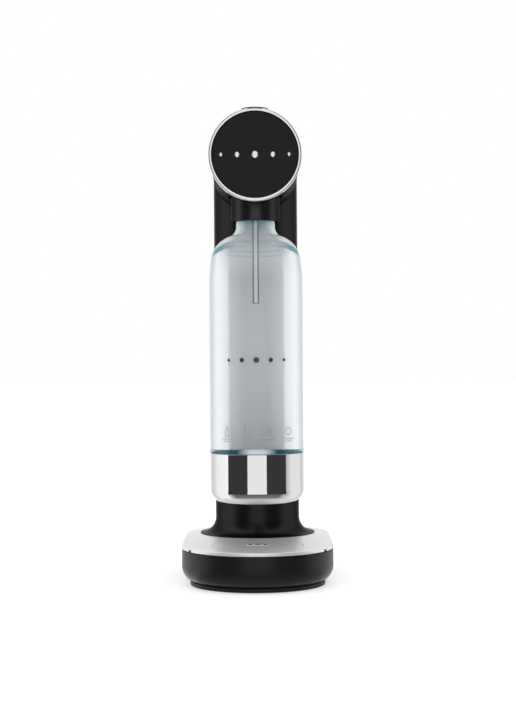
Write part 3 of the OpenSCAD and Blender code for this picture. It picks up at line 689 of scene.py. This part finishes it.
def make_tray_circle():
    """A fine matt circle let into the tray."""
    slack = 0.02 * MM
    low, top = TRAY_TOP - ETCH_DEPTH + slack, TRAY_TOP + 0.03 * MM
    inner, outer = ETCH_IN + slack, ETCH_OUT - slack
    profile = [(inner, low), (outer, low), (outer, top - slack), (outer - slack, top),
               (inner + slack, top), (inner, top - slack)]
    circle = lathe("tray_circle", profile, upright(0, BOTTLE_Y), [ETCHED], 192, ring=True)
    belongs(circle, TRAY, "tray_steel")


def make_tray_mark():
    """Three polished bubbles on the tray, low domes."""
    mesh = bmesh.new()
    edge = TRAY_TOP + 0.1 * MM
    for x, y, r in ((-7.2, -1, 2.9), (7.2, -1, 2.9), (0, 1.5, 3.6)):
        r *= MM
        profile = [(r, TRAY_TOP - 0.3 * MM), (r, edge)] + dome(r, edge, 0.9 * MM, [*range(10, 81, 10), 87])
        skin(mesh, lathe_rings(profile, upright(x * MM, BOTTLE_Y + y * MM), 64))
    belongs(finished("tray_bubbles", mesh, [MARK_STEEL]), TRAY, "mark_steel", "tray_mark")


# ---------------- column and head

FLARE_R = COLUMN_HI.x
FLARE_Z = TRAY_TOP + GAP
FLARE_EDGE = 0.6 * MM
FLARE_ROUND = FLARE_R - TUBE_R
FLARE_TOP = FLARE_Z + FLARE_EDGE + FLARE_ROUND


def column_point(r, a, z):
    return Vector((r * math.cos(a), COLUMN_Y + r * math.sin(a), z))


def make_column():
    """The flared foot all round, and above it the front half of the tube up to the slanting joint
    with the head."""
    foot = [(TUBE_IN, TRAY_TOP), (PLINTH_R - 0.5 * MM, TRAY_TOP), (PLINTH_R - 0.5 * MM, FLARE_Z)]
    foot += [(FLARE_R - 0.2 * MM, FLARE_Z), (FLARE_R, FLARE_Z + 0.2 * MM), (FLARE_R, FLARE_Z + 0.4 * MM)]
    foot += arc(FLARE_R, FLARE_TOP, FLARE_ROUND, 269, 180, 24)
    half = 96

    def strip(k, front):
        """From the foot up to the joint in front, and up to the flare's top at the back."""
        a = math.pi + math.pi * k / half
        tops = [(r, HEAD_Z + r * min(0.0, math.sin(a)) if front else FLARE_TOP) for r in (TUBE_R, TUBE_IN)]
        return [column_point(r, a, z) for r, z in foot + tops]

    rings = [strip(k, True) for k in range(half + 1)]
    rings += [strip(k, False) for k in range(half, 2 * half + 1)]
    rings.append(rings[0])
    mesh = bmesh.new()
    skin(mesh, rings, caps=False)
    belongs(finished("column_front", mesh, [COLUMN_BLACK]), STAND, "housing", "column_shell")


def make_cover():
    """The back half of the tube, with two finger grooves."""
    n, edge = 96, 0.6 * MM
    top, bottom = COVER_HI.z, COVER_LO.z
    section = [(TUBE_IN, bottom), (TUBE_R - edge, bottom), (TUBE_R, bottom + edge),
               (TUBE_R, top - edge), (TUBE_R - edge, top), (TUBE_IN, top)]

    def at(r, z, t):
        """A point of the section, t of the way round from one seam to the other."""
        start = math.asin(GAP / r)
        return column_point(r, start + (math.pi - 2 * start) * t, z)

    mesh = bmesh.new()
    skin(mesh, [[at(r, z, k / n) for r, z in section] for k in range(n + 1)])
    cover = finished("back_shell", mesh, [COLUMN_BLACK])
    grip_x, grip_y, grip_r = 7 * MM, COLUMN_Y + TUBE_R + 4.6 * MM, 6 * MM
    low, high = 96 * MM, 136 * MM
    profile = arc(0, low, grip_r, -80, 0, 6) + arc(0, high, grip_r, 0, 80, 6)
    cut(cover, [lathe("grip", profile, upright(x, grip_y), [], 48) for x in (-grip_x, grip_x)])
    belongs(cover, COVER, "housing", "rear_cover")


def make_head():
    """The drum: it turns down into the column in a round elbow at the back, and meets it in a
    slanting joint below."""
    n, bend = 192, 20

    def strip(r, k):
        a = 2 * math.pi * k / n
        rise = r * math.sin(a)
        x = r * math.cos(a)
        if rise <= 1e-9:
            tail = [Vector((x, COLUMN_Y + min(rise, 0.0), HEAD_Z + min(rise, 0.0)))] * (bend + 1)
        else:
            tail = [Vector((x, COLUMN_Y + rise * math.sin(t), HEAD_Z + rise * math.cos(t)))
                    for t in [math.pi / 2 * j / bend for j in range(bend + 1)]]
        return [Vector((x, HEAD_FRONT, HEAD_Z + rise))] + tail

    mesh = bmesh.new()
    skin(mesh, [strip(TUBE_R, k) + strip(TUBE_IN, k)[::-1] for k in range(n)], along=True)
    head = finished("head_drum", mesh, [HEAD_BLACK])
    collar_r, swing = COLLAR_HI.x + 3 * MM, 5 * MM
    opening = arc(0, BOTTLE_Y, collar_r, 0, 180, 48) + arc(0, BOTTLE_Y - swing, collar_r, 180, 360, 48)
    cut(head, [
        cylinder_solid("bezel_hole", 0, BOTTLE_Y, BEZEL_HI.x + 0.1 * MM, HEAD_Z, HEAD_Z + 100 * MM),
        prism("collar_room", opening, HEAD_Z - 60 * MM, HEAD_Z - 10 * MM, [])])
    belongs(head, STAND, "housing", "head_shell")


def make_ring():
    """The chrome ring: a flat bright face with a rounded outer edge."""
    r = RING_HI.x
    front, back = RING_LO.y, RING_HI.y
    inner = r - 3 * MM
    profile = [(inner, back), (r - 0.3 * MM, back), (r, back - 0.3 * MM), (r, front + 1.7 * MM)]
    profile += arc(r - 1.5 * MM, front + 1.5 * MM, 1.5 * MM, 0, -90, 10)
    profile += [(inner + 0.6 * MM, front + 0.05 * MM), (inner + 0.2 * MM, front + 0.2 * MM),
                (inner, front + 0.6 * MM)]
    ring = lathe("chrome_ring", profile, forward(HEAD_Z), [CHROME], 192, ring=True)
    belongs(ring, STAND, "ring_chrome", "trim_ring")


def make_disc():
    r = DISC_HI.x
    front, back = DISC_LO.y, DISC_HI.y
    edge = 0.5 * MM
    profile = [(r, back)] + arc(r - edge, front + edge, edge, 0, -90, 5)
    disc = lathe("head_disc", profile, forward(HEAD_Z), [DISC], 192)
    belongs(disc, STAND, "disc_black", "front_disc")


def make_emblem():
    """Five domed studs in a row, the middle one largest."""
    mesh = bmesh.new()
    edge = DOTS_HI.y - 0.15 * MM
    for i, x in zip(range(-2, 3), (-30.5, -16, 0, 16, 30.5)):
        r = (3.3 - 0.7 * abs(i)) * MM
        profile = [(r, DOTS_HI.y + 0.2 * MM), (r, edge)] + dome(r, edge, DOTS_LO.y - edge, range(12, 85, 12))
        skin(mesh, lathe_rings(profile, forward(HEAD_Z, x * MM), 64))
    belongs(finished("emblem_studs", mesh, [CHROME]), STAND, "emblem_chrome", "emblem_dots")


# ---------------- button

SPRING_WIRE = 1.4 * MM


def make_button():
    r_in = CAP_HI.x + 0.4 * MM
    r_out = BEZEL_HI.x
    low, top = BEZEL_LO.z, BEZEL_HI.z
    profile = [(r_in, low), (r_out, low), (r_out, top - 1.2 * MM)]
    profile += arc(r_out - 1.2 * MM, top - 1.2 * MM, 1.2 * MM, 0, 90, 6)[1:]
    profile += arc(r_in + 0.6 * MM, top - 0.6 * MM, 0.6 * MM, 90, 180, 4)
    bezel = lathe("button_ring", profile, upright(0, BOTTLE_Y), [DARK_CHROME], 128, ring=True)
    belongs(bezel, STAND, "bezel_chrome", "button_bezel")

    r = CAP_HI.x
    top, low = CAP_HI.z, CAP_LO.z
    inlay = INLAY_HI.x
    edge = 1.5 * MM
    bore, seat = 4.05 * MM, inlay + 0.05 * MM
    profile = [(bore, top - 4 * MM), (r - 2 * MM, top - 4 * MM), (r - 2 * MM, low), (r, low), (r, top - edge)]
    profile += arc(r - edge, top - edge, edge, 0, 90, 8)[1:]
    profile += [(seat + 0.1 * MM, top), (seat, top - 0.1 * MM), (seat, top - 0.9 * MM),
                (bore, top - 0.9 * MM)]
    cap = lathe("push_cap", profile, upright(0, BOTTLE_Y), [BUTTON_BLACK], 128, ring=True)
    belongs(cap, BUTTON, "button_black", "button_cap")

    profile = [(inlay, INLAY_LO.z), (inlay, INLAY_HI.z - 0.1 * MM), (inlay - 0.1 * MM, INLAY_HI.z)]
    profile += [(inlay * f, INLAY_HI.z - 0.3 * MM * (1 - f * f)) for f in (0.85, 0.7, 0.55, 0.4, 0.25, 0.1)]
    disc = lathe("push_inlay", profile, upright(0, BOTTLE_Y), [CHROME], 128)
    belongs(disc, BUTTON, "button_steel", "button_inlay")


def make_spring():
    """The button's coil spring, drawn at one length, though the real spring shortens as the button goes down.
    """
    lo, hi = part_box("button_spring")
    wire = SPRING_WIRE / 2
    r = hi.x - wire
    low, high = lo.z + wire, hi.z - wire
    turns, steps, sides = 6, 40, 14
    slope = math.atan2(high - low, 2 * math.pi * r * turns)
    rings = []
    for k in range(turns * steps + 1):
        a = 2 * math.pi * k / steps
        z = low + (high - low) * k / (turns * steps)
        middle = Vector((r * math.cos(a), BOTTLE_Y + r * math.sin(a), z))
        out = Vector((math.cos(a), math.sin(a), 0))
        up = Vector((math.sin(a) * math.sin(slope), -math.cos(a) * math.sin(slope), math.cos(slope)))
        rings.append([middle + wire * (math.cos(t) * out + math.sin(t) * up)
                      for t in [2 * math.pi * j / sides for j in range(sides)]])
    mesh = bmesh.new()
    skin(mesh, rings)
    spring = finished("button_coil", mesh, [PIN_STEEL])
    belongs(spring, STAND, "spring_steel", "button_spring")
    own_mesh(spring)


# ---------------- bottle

CUP_R = CUP_HI.x
CUP_CORNER = 13 * MM
CUP_WALL = 0.9 * MM
BODY_R = BOTTLE_HI.x - 0.5 * MM
NECK_R = 17.7 * MM
BEAD_R = BOTTLE_HI.x
BEAD_Z = CUP_HI.z + 0.3 * MM
BEAD_TOP = BEAD_Z + 4 * MM
SHOULDER_Z = 275.9 * MM
BIG, SMALL = 150 * MM, 26 * MM  # the shoulder's two radii, and the angles at which they end
LEAN_A, LEAN_B = 9.3, 70


def ridged(points, heights, size):
    """The outline, in fine steps where the ridges are, standing out by size at each ridge."""
    low, high = min(heights) - 2 * MM, max(heights) + 2 * MM
    out = []
    for (r0, z0), (r1, z1) in zip(points, points[1:]):
        out.append((r0, z0))
        if z0 < low or z1 > high or z1 - z0 < 1e-6:
            continue
        n = max(1, math.ceil(math.hypot(r1 - r0, z1 - z0) / (0.3 * MM)))
        out += [(r0 + (r1 - r0) * k / n, z0 + (z1 - z0) * k / n) for k in range(1, n)]
    out.append(points[-1])
    swell = [size * max(math.exp(-((z - h) / (0.5 * MM)) ** 2) for h in heights) for r, z in out]
    return [(r + d, z) for (r, z), d in zip(out, swell)]


def bottle_side(inset):
    """The bottle from its bottom up to its mouth, moved in by inset: body, shoulder and neck run
    smoothly into each other."""
    low = CUP_LO.z + CUP_WALL + 0.4 * MM
    low_r = CUP_R - CUP_WALL - 0.2 * MM
    corner = CUP_CORNER - 1.3 * MM
    ca, sa = math.cos(math.radians(LEAN_A)), math.sin(math.radians(LEAN_A))
    cb, sb = math.cos(math.radians(LEAN_B)), math.sin(math.radians(LEAN_B))
    mid = (BODY_R - BIG + (BIG - SMALL) * ca, SHOULDER_Z + (BIG - SMALL) * sa)
    end = (mid[0] + SMALL * cb, mid[1] + SMALL * sb)
    fillet = (end[0] - NECK_R) / (1 - cb)
    hollow = (end[0] + fillet * cb, end[1] + fillet * sb)
    points = arc(low_r - corner, low + corner, corner - inset, -88, 0, 14)
    points += [(low_r - inset, BEAD_Z)]
    if not inset:
        points += arc(BEAD_R - 0.7 * MM, BEAD_Z + 0.7 * MM, 0.7 * MM, -90, 0, 4)
        points += arc(BEAD_R - 1.2 * MM, BEAD_TOP - 1.6 * MM, 1.2 * MM, 0, 70, 5)
    points += [(BODY_R - inset, BEAD_TOP + 0.3 * MM), (BODY_R - inset, BEAD_TOP + 8 * MM),
               (BODY_R - inset, SHOULDER_Z - 60 * MM)]
    points += arc(BODY_R - BIG, SHOULDER_Z, BIG - inset, 0, LEAN_A, 14)
    points += arc(*mid, SMALL - inset, LEAN_A + 4, LEAN_B, 24)
    points += arc(*hollow, fillet + inset, 180 + LEAN_B - 5, 180, 16)
    return points if inset else ridged(points, RIDGES, 0.3 * MM)


def make_bottle():
    """Thin wall inside and out. Below the cup's rim the wall is dark blue in painted shade, which shows
    through the clear bead."""
    wall = 1.4 * MM
    mouth = BOTTLE_HI.z
    profile = bottle_side(0)
    profile += [(NECK_R, mouth - 0.5 * MM), (NECK_R - 0.4 * MM, mouth), (NECK_R - wall + 0.3 * MM, mouth),
                (NECK_R - wall, mouth - 0.3 * MM)]
    profile += list(reversed(bottle_side(wall)))
    mesh = bmesh.new()
    skin(mesh, lathe_rings(profile, upright(0, BOTTLE_Y), 192))
    for face in mesh.faces:
        face.material_index = int(face.calc_center_median().z < CUP_HI.z - 0.4 * MM)
    bottle = finished("bottle_shell", mesh, [BOTTLE_CLEAR, BOTTLE_LOW_SHADE])
    belongs(bottle, BOTTLE, "bottle_clear", "bottle_body")


def make_cup():
    """Polished steel, with a rolled bright rim."""
    middle, edge = (CUP_R - CUP_CORNER, CUP_LO.z + CUP_CORNER), CUP_WALL / 2
    profile = arc(*middle, CUP_CORNER, -90, 0, 24)
    profile += arc(CUP_R - edge, CUP_HI.z - edge, edge, 0, 180, 8)
    profile += arc(*middle, CUP_CORNER - CUP_WALL, 0, -90, 24)
    cup = lathe("steel_cup", profile, upright(0, BOTTLE_Y), [CUP_STEEL], 192)
    belongs(cup, BOTTLE, "cup_steel", "bottle_cup")


def dot(u, v, r, n=28):
    """The outline of a printed dot."""
    return arc(u, v, r, 0, 360, n)[:-1]


def wrapped(name, outlines, material, thick=0.06 * MM):
    """Closed printed slabs, wrapped on the bottle. Each outline is an outer loop of points with an
    inner loop, or None."""
    mesh = bmesh.new()

    def lift(point, radius):
        a = -math.pi / 2 + point[0] * MM / BODY_R
        return Vector((radius * math.cos(a), BOTTLE_Y + radius * math.sin(a), point[1] * MM))

    top, low = BODY_R + thick, BODY_R - 0.05 * MM
    for outer, inner in outlines:
        levels = [(outer, low), (outer, top)] + ([(inner, top), (inner, low)] if inner else [])
        skin(mesh, [[lift(p, r) for p in loop] for loop, r in levels], along=bool(inner))
    return finished(name, mesh, [material], 60)


def shrunk(points, inset):
    """The loop of points moved in by inset, along its own normals."""
    out = []
    n = len(points)
    for k, (u, v) in enumerate(points):
        du = points[(k + 1) % n][0] - points[k - 1][0]
        dv = points[(k + 1) % n][1] - points[k - 1][1]
        size = math.hypot(du, dv)
        out.append((u - dv / size * inset, v + du / size * inset))
    return out


def bar(u, v, width, height=0.6, n=16):
    """A thin printed bar, in short steps so that it follows the bottle."""
    steps = [u - width / 2 + width * k / n for k in range(n + 1)]
    return [(a, v) for a in steps] + [(a, v + height) for a in reversed(steps)]


def make_prints():
    """Generic marks: a row of bubbles in dark ink, and low down four faint pictures, each with two
    bars. Places are in millimetres round and up the bottle."""
    row = [(dot(i * 13.2, 207, 2.6 - 0.55 * abs(i)), None) for i in range(-2, 3)]
    belongs(wrapped("bottle_bubbles", row, INK), BOTTLE, "bottle_clear")

    low, left, right = 143, -29, 31
    drop = [(left + 3.2 * math.sin(t) * math.sin(t / 2) ** 1.3, low + 5.2 * math.cos(t))
            for t in [2 * math.pi * k / 36 for k in range(36)]]
    glass = [(-10.9, low - 5), (-6.1, low - 5), (-5.3, low + 5), (-11.7, low + 5)]
    loops = (drop[::-1], glass, dot(9, low, 4.6, 36), dot(right, low, 3.6, 30))
    faint = [(loop, shrunk(loop, 0.7)) for loop in loops]
    faint += [(dot(9, low, 1.4, 24), None)]
    for u, width in ((left, 12), (-8.5, 10), (9, 13), (right, 13)):
        faint += [(bar(u, low - 7.2, width), None), (bar(u, low - 9.2, width * 0.7), None)]
    belongs(wrapped("bottle_pictures", faint, INK_FAINT), BOTTLE, "bottle_clear")


# ---------------- holder and nozzle

def make_holder():
    """The collar round the bottle's neck, with the two ears that it tilts on."""
    low, high, roof = COLLAR_LO.z, 360 * MM, 357 * MM
    r, r_in, r_top, edge = COLLAR_HI.x, 18.2 * MM, 14.6 * MM, 1 * MM
    profile = [(r_in, low + 0.6 * MM), (r_in + 0.6 * MM, low)]
    profile += arc(r - edge, low + edge, edge, -90, 0, 5) + arc(r - edge, high - edge, edge, 0, 90, 5)
    profile += [(r_top, high), (r_top, roof), (r_in, roof)]
    mesh = bmesh.new()
    skin(mesh, lathe_rings(profile, upright(0, BOTTLE_Y), 144), along=True)
    pivot_y, pivot_z = -45 * MM, 368 * MM
    ear_r, root_r, bore, inside, thick = 6.2 * MM, 10.5 * MM, 3.05 * MM, 15 * MM, 4.5 * MM
    drop, tiny = 10 * MM, 1e-9
    hole = arc(pivot_y, pivot_z, bore, 0, 360, 48)[:-1]
    outer = []
    for c, s in arc(0, 0, 1, 0, 360, 48)[:-1]:
        reach = min(root_r, -drop / s) if c < tiny and s < -tiny else ear_r
        outer.append((pivot_y + reach * c, pivot_z + reach * s))
    for x0 in (inside, -inside - thick):
        x1 = x0 + thick
        skin(mesh, [[Vector((x, y, z)) for y, z in loop]
                    for x, loop in ((x0, outer), (x1, outer), (x1, hole), (x0, hole))], along=True)
    belongs(finished("neck_collar", mesh, [COLLAR]), HOLDER, "collar_black", "bottle_holder")


def make_nozzle():
    """A clear tube that narrows inside, just above its tip."""
    r, bore, jet = NOZZLE_HI.x, 1.4 * MM, 0.8 * MM
    tip, top = NOZZLE_LO.z, NOZZLE_HI.z
    profile = [(jet, tip), (r - 1 * MM, tip)] + arc(r - 1 * MM, tip + 1 * MM, 1 * MM, -60, 0, 4)
    profile += [(r, tip + 2 * MM), (r, top), (bore, top), (bore, tip + 4 * MM), (jet, tip + 2 * MM)]
    nozzle = lathe("carbonating_tube", profile, upright(0, BOTTLE_Y), [NOZZLE_CLEAR], 48, ring=True)
    belongs(nozzle, HOLDER, "nozzle_clear", "nozzle")


# ---------------- CAD nodes that stay

KEPT = {
    "base_screws": PIN_STEEL, "spine": FRAME_GREY, "column_screws": PIN_STEEL, "disc_carrier": FRAME_BLACK,
    "head_frame": FRAME_GREY, "gas_manifold": BRASS, "manifold_seal": RUBBER, "relief_valve": BRASS,
    "gas_hose": HOSE, "hose_fittings": BRASS, "lever_pivot_pin": PIN_STEEL, "holder_pivot_pins": PIN_STEEL,
    "frame_screws": PIN_STEEL, "cylinder_cradle": FRAME_BLACK, "cradle_pad": RUBBER,
    "cover_magnets": LEVER_STEEL, "button_stem": PIN_STEEL, "lever_arm": LEVER_STEEL,
    "lever_pad": PIN_STEEL, "valve_pin": PIN_STEEL, "neck_seal": RUBBER, "nozzle_holder": FRAME_BLACK,
    "co2_cylinder": CYLINDER_PAINT, "cylinder_valve": BRASS, "cover_keepers": LEVER_STEEL,
}


def dress_kept_nodes():
    """Gives each carried-over CAD node its material and smooth shading."""
    for name, material in KEPT.items():
        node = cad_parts[name]
        node.data.materials.clear()
        node.data.materials.append(material)
        node.data.shade_smooth()
        node.data.set_sharp_from_angle(angle=math.radians(30))


# ---------------- studio

def make_floor():
    """A large white floor that glows a little, so that it fades into the world."""
    material, _, shader = new_material("floor_white")
    shader.inputs["Base Color"].default_value = (0.75, 0.75, 0.75, 1)
    shader.inputs["Roughness"].default_value = 0.9
    shader.inputs["Specular IOR Level"].default_value = 0.1
    shader.inputs["Emission Color"].default_value = (1, 1, 1, 1)
    shader.inputs["Emission Strength"].default_value = 0.45
    mesh = bmesh.new()
    reach = 12
    mesh.faces.new([mesh.verts.new((x, y, 0)) for x, y in rectangle(-reach, -reach, reach, reach)])
    add_object("floor", mesh, [material])


def only_in_gloss(card):
    """A card that shows only in glossy surfaces: it lights nothing and hides nothing."""
    card.visible_camera = False
    card.visible_diffuse = False
    card.visible_transmission = False
    card.visible_shadow = False


def even_light(name, level):
    """A surface that shines evenly."""
    material, _, shine = new_material(name, "ShaderNodeEmission")
    shine.inputs["Color"].default_value = (*grey(level), 1)
    return material


def light_by_corner(name):
    """A surface that shines as brightly as its mesh's corners say."""
    material, tree, shine = new_material(name, "ShaderNodeEmission")
    level = tree.nodes.new("ShaderNodeVertexColor")
    level.layer_name = "level"
    tree.links.new(level.outputs["Color"], shine.inputs["Color"])
    return material


def make_cards():
    """What the gloss mirrors: a white strip in front between two black flags, light greys round the
    rest, a dark floor close in front, a light one at the sides, and a thin dark boom overhead. Each
    part is given by its two angles off the front and the light levels at them."""
    at, top, near, lift = 0.8, 2.5, 0.2, 0.5 * MM
    black, strip, flag, outer = 0.04, 0.9, 22.5, 73
    front = [(-outer, -flag, black, black), (-flag, flag, strip, strip), (flag, outer, black, black)]
    sides = [
        (-180, -152, 0.98, 0.98), (-152, -141, 0.98, 0.70), (-141, -133, 0.70, 0.70),
        (-133, -108, 0.70, 0.97), (-108, -outer, 0.97, 1.04), (outer, 90, 0.50, 0.86),
        (90, 122, 0.86, 0.86), (122, 136, 0.86, 0.66), (136, 145, 0.66, 0.66), (145, 154, 0.66, 0.96),
        (154, 180, 0.96, 0.96)]
    mesh = bmesh.new()
    level = mesh.loops.layers.float_color.new("level")

    def add(r0, z0, r1, z1, low, high, levels0, levels1):
        """One part between two circles. levels0 are on the first circle, at its low and its high angle."""
        n = max(1, round((high - low) / 3))
        for k in range(n):
            corners = []
            for t, r, z, pair in ((k, r0, z0, levels0), (k + 1, r0, z0, levels0),
                                  (k + 1, r1, z1, levels1), (k, r1, z1, levels1)):
                a = math.radians(low + (high - low) * t / n)
                value = pair[0] + (pair[1] - pair[0]) * t / n
                corners.append((mesh.verts.new((r * math.sin(a), BOTTLE_Y - r * math.cos(a), z)), value))
            face = mesh.faces.new([vert for vert, _ in corners])
            for loop, (_, value) in zip(face.loops, corners):
                loop[level] = (value, value, value, 1)

    for low, high, first, last in front + sides:
        add(at, lift, at, top, low, high, (first, last), (first, last))
    for low, high, first, last in front:
        add(near, lift, at, lift, low, high, (first, last), (first, last))
    for low, high, first, last in sides:
        add(0.05, lift, at, lift, low, high, (first, last), (first, last))
    rings = [(0.05, 0.62), (0.075, 0.34), (0.11, 0.17), (near, 0.10)]
    soft = 55
    for (r0, level0), (r1, level1) in zip(rings, rings[1:]):
        add(r0, lift, r1, lift, -soft, soft, (level0, level0), (level1, level1))
        add(r0, lift, r1, lift, -outer, -soft, (0.9, level0), (0.5, level1))
        add(r0, lift, r1, lift, soft, outer, (level0, 0.8), (level1, 0.45))
    only_in_gloss(finished("cards", mesh, [light_by_corner("cards")]))

    half, boom = math.radians(7.5), 1.2
    side, rise = boom * math.sin(half), math.cos(half)
    mesh = bmesh.new()
    skin(mesh, [[(x, -y, HEAD_Z + z * rise) for x in (-side, side)] for y, z in arc(0, 0, boom, 24, 156, 24)],
         around=False, caps=False)
    only_in_gloss(finished("boom", mesh, [even_light("boom", 0.02)]))


def make_world():
    """Even white light from all round."""
    world = bpy.data.worlds.new("studio")
    bpy.context.scene.world = world
    world.use_nodes = True
    tree = world.node_tree
    tree.nodes.clear()
    output = tree.nodes.new("ShaderNodeOutputWorld")
    light = tree.nodes.new("ShaderNodeBackground")
    light.inputs["Color"].default_value = (1, 1, 1, 1)
    tree.links.new(light.outputs[0], output.inputs["Surface"])


make_base()
make_plinth()
make_base_plate()
make_feet()
make_tray()
make_tray_circle()
make_tray_mark()
make_column()
make_cover()
make_head()
make_ring()
make_disc()
make_emblem()
make_button()
make_spring()
make_bottle()
make_cup()
make_prints()
make_holder()
make_nozzle()
dress_kept_nodes()
make_floor()
make_cards()
make_world()
bpy.context.scene.view_settings.view_transform = "Standard"
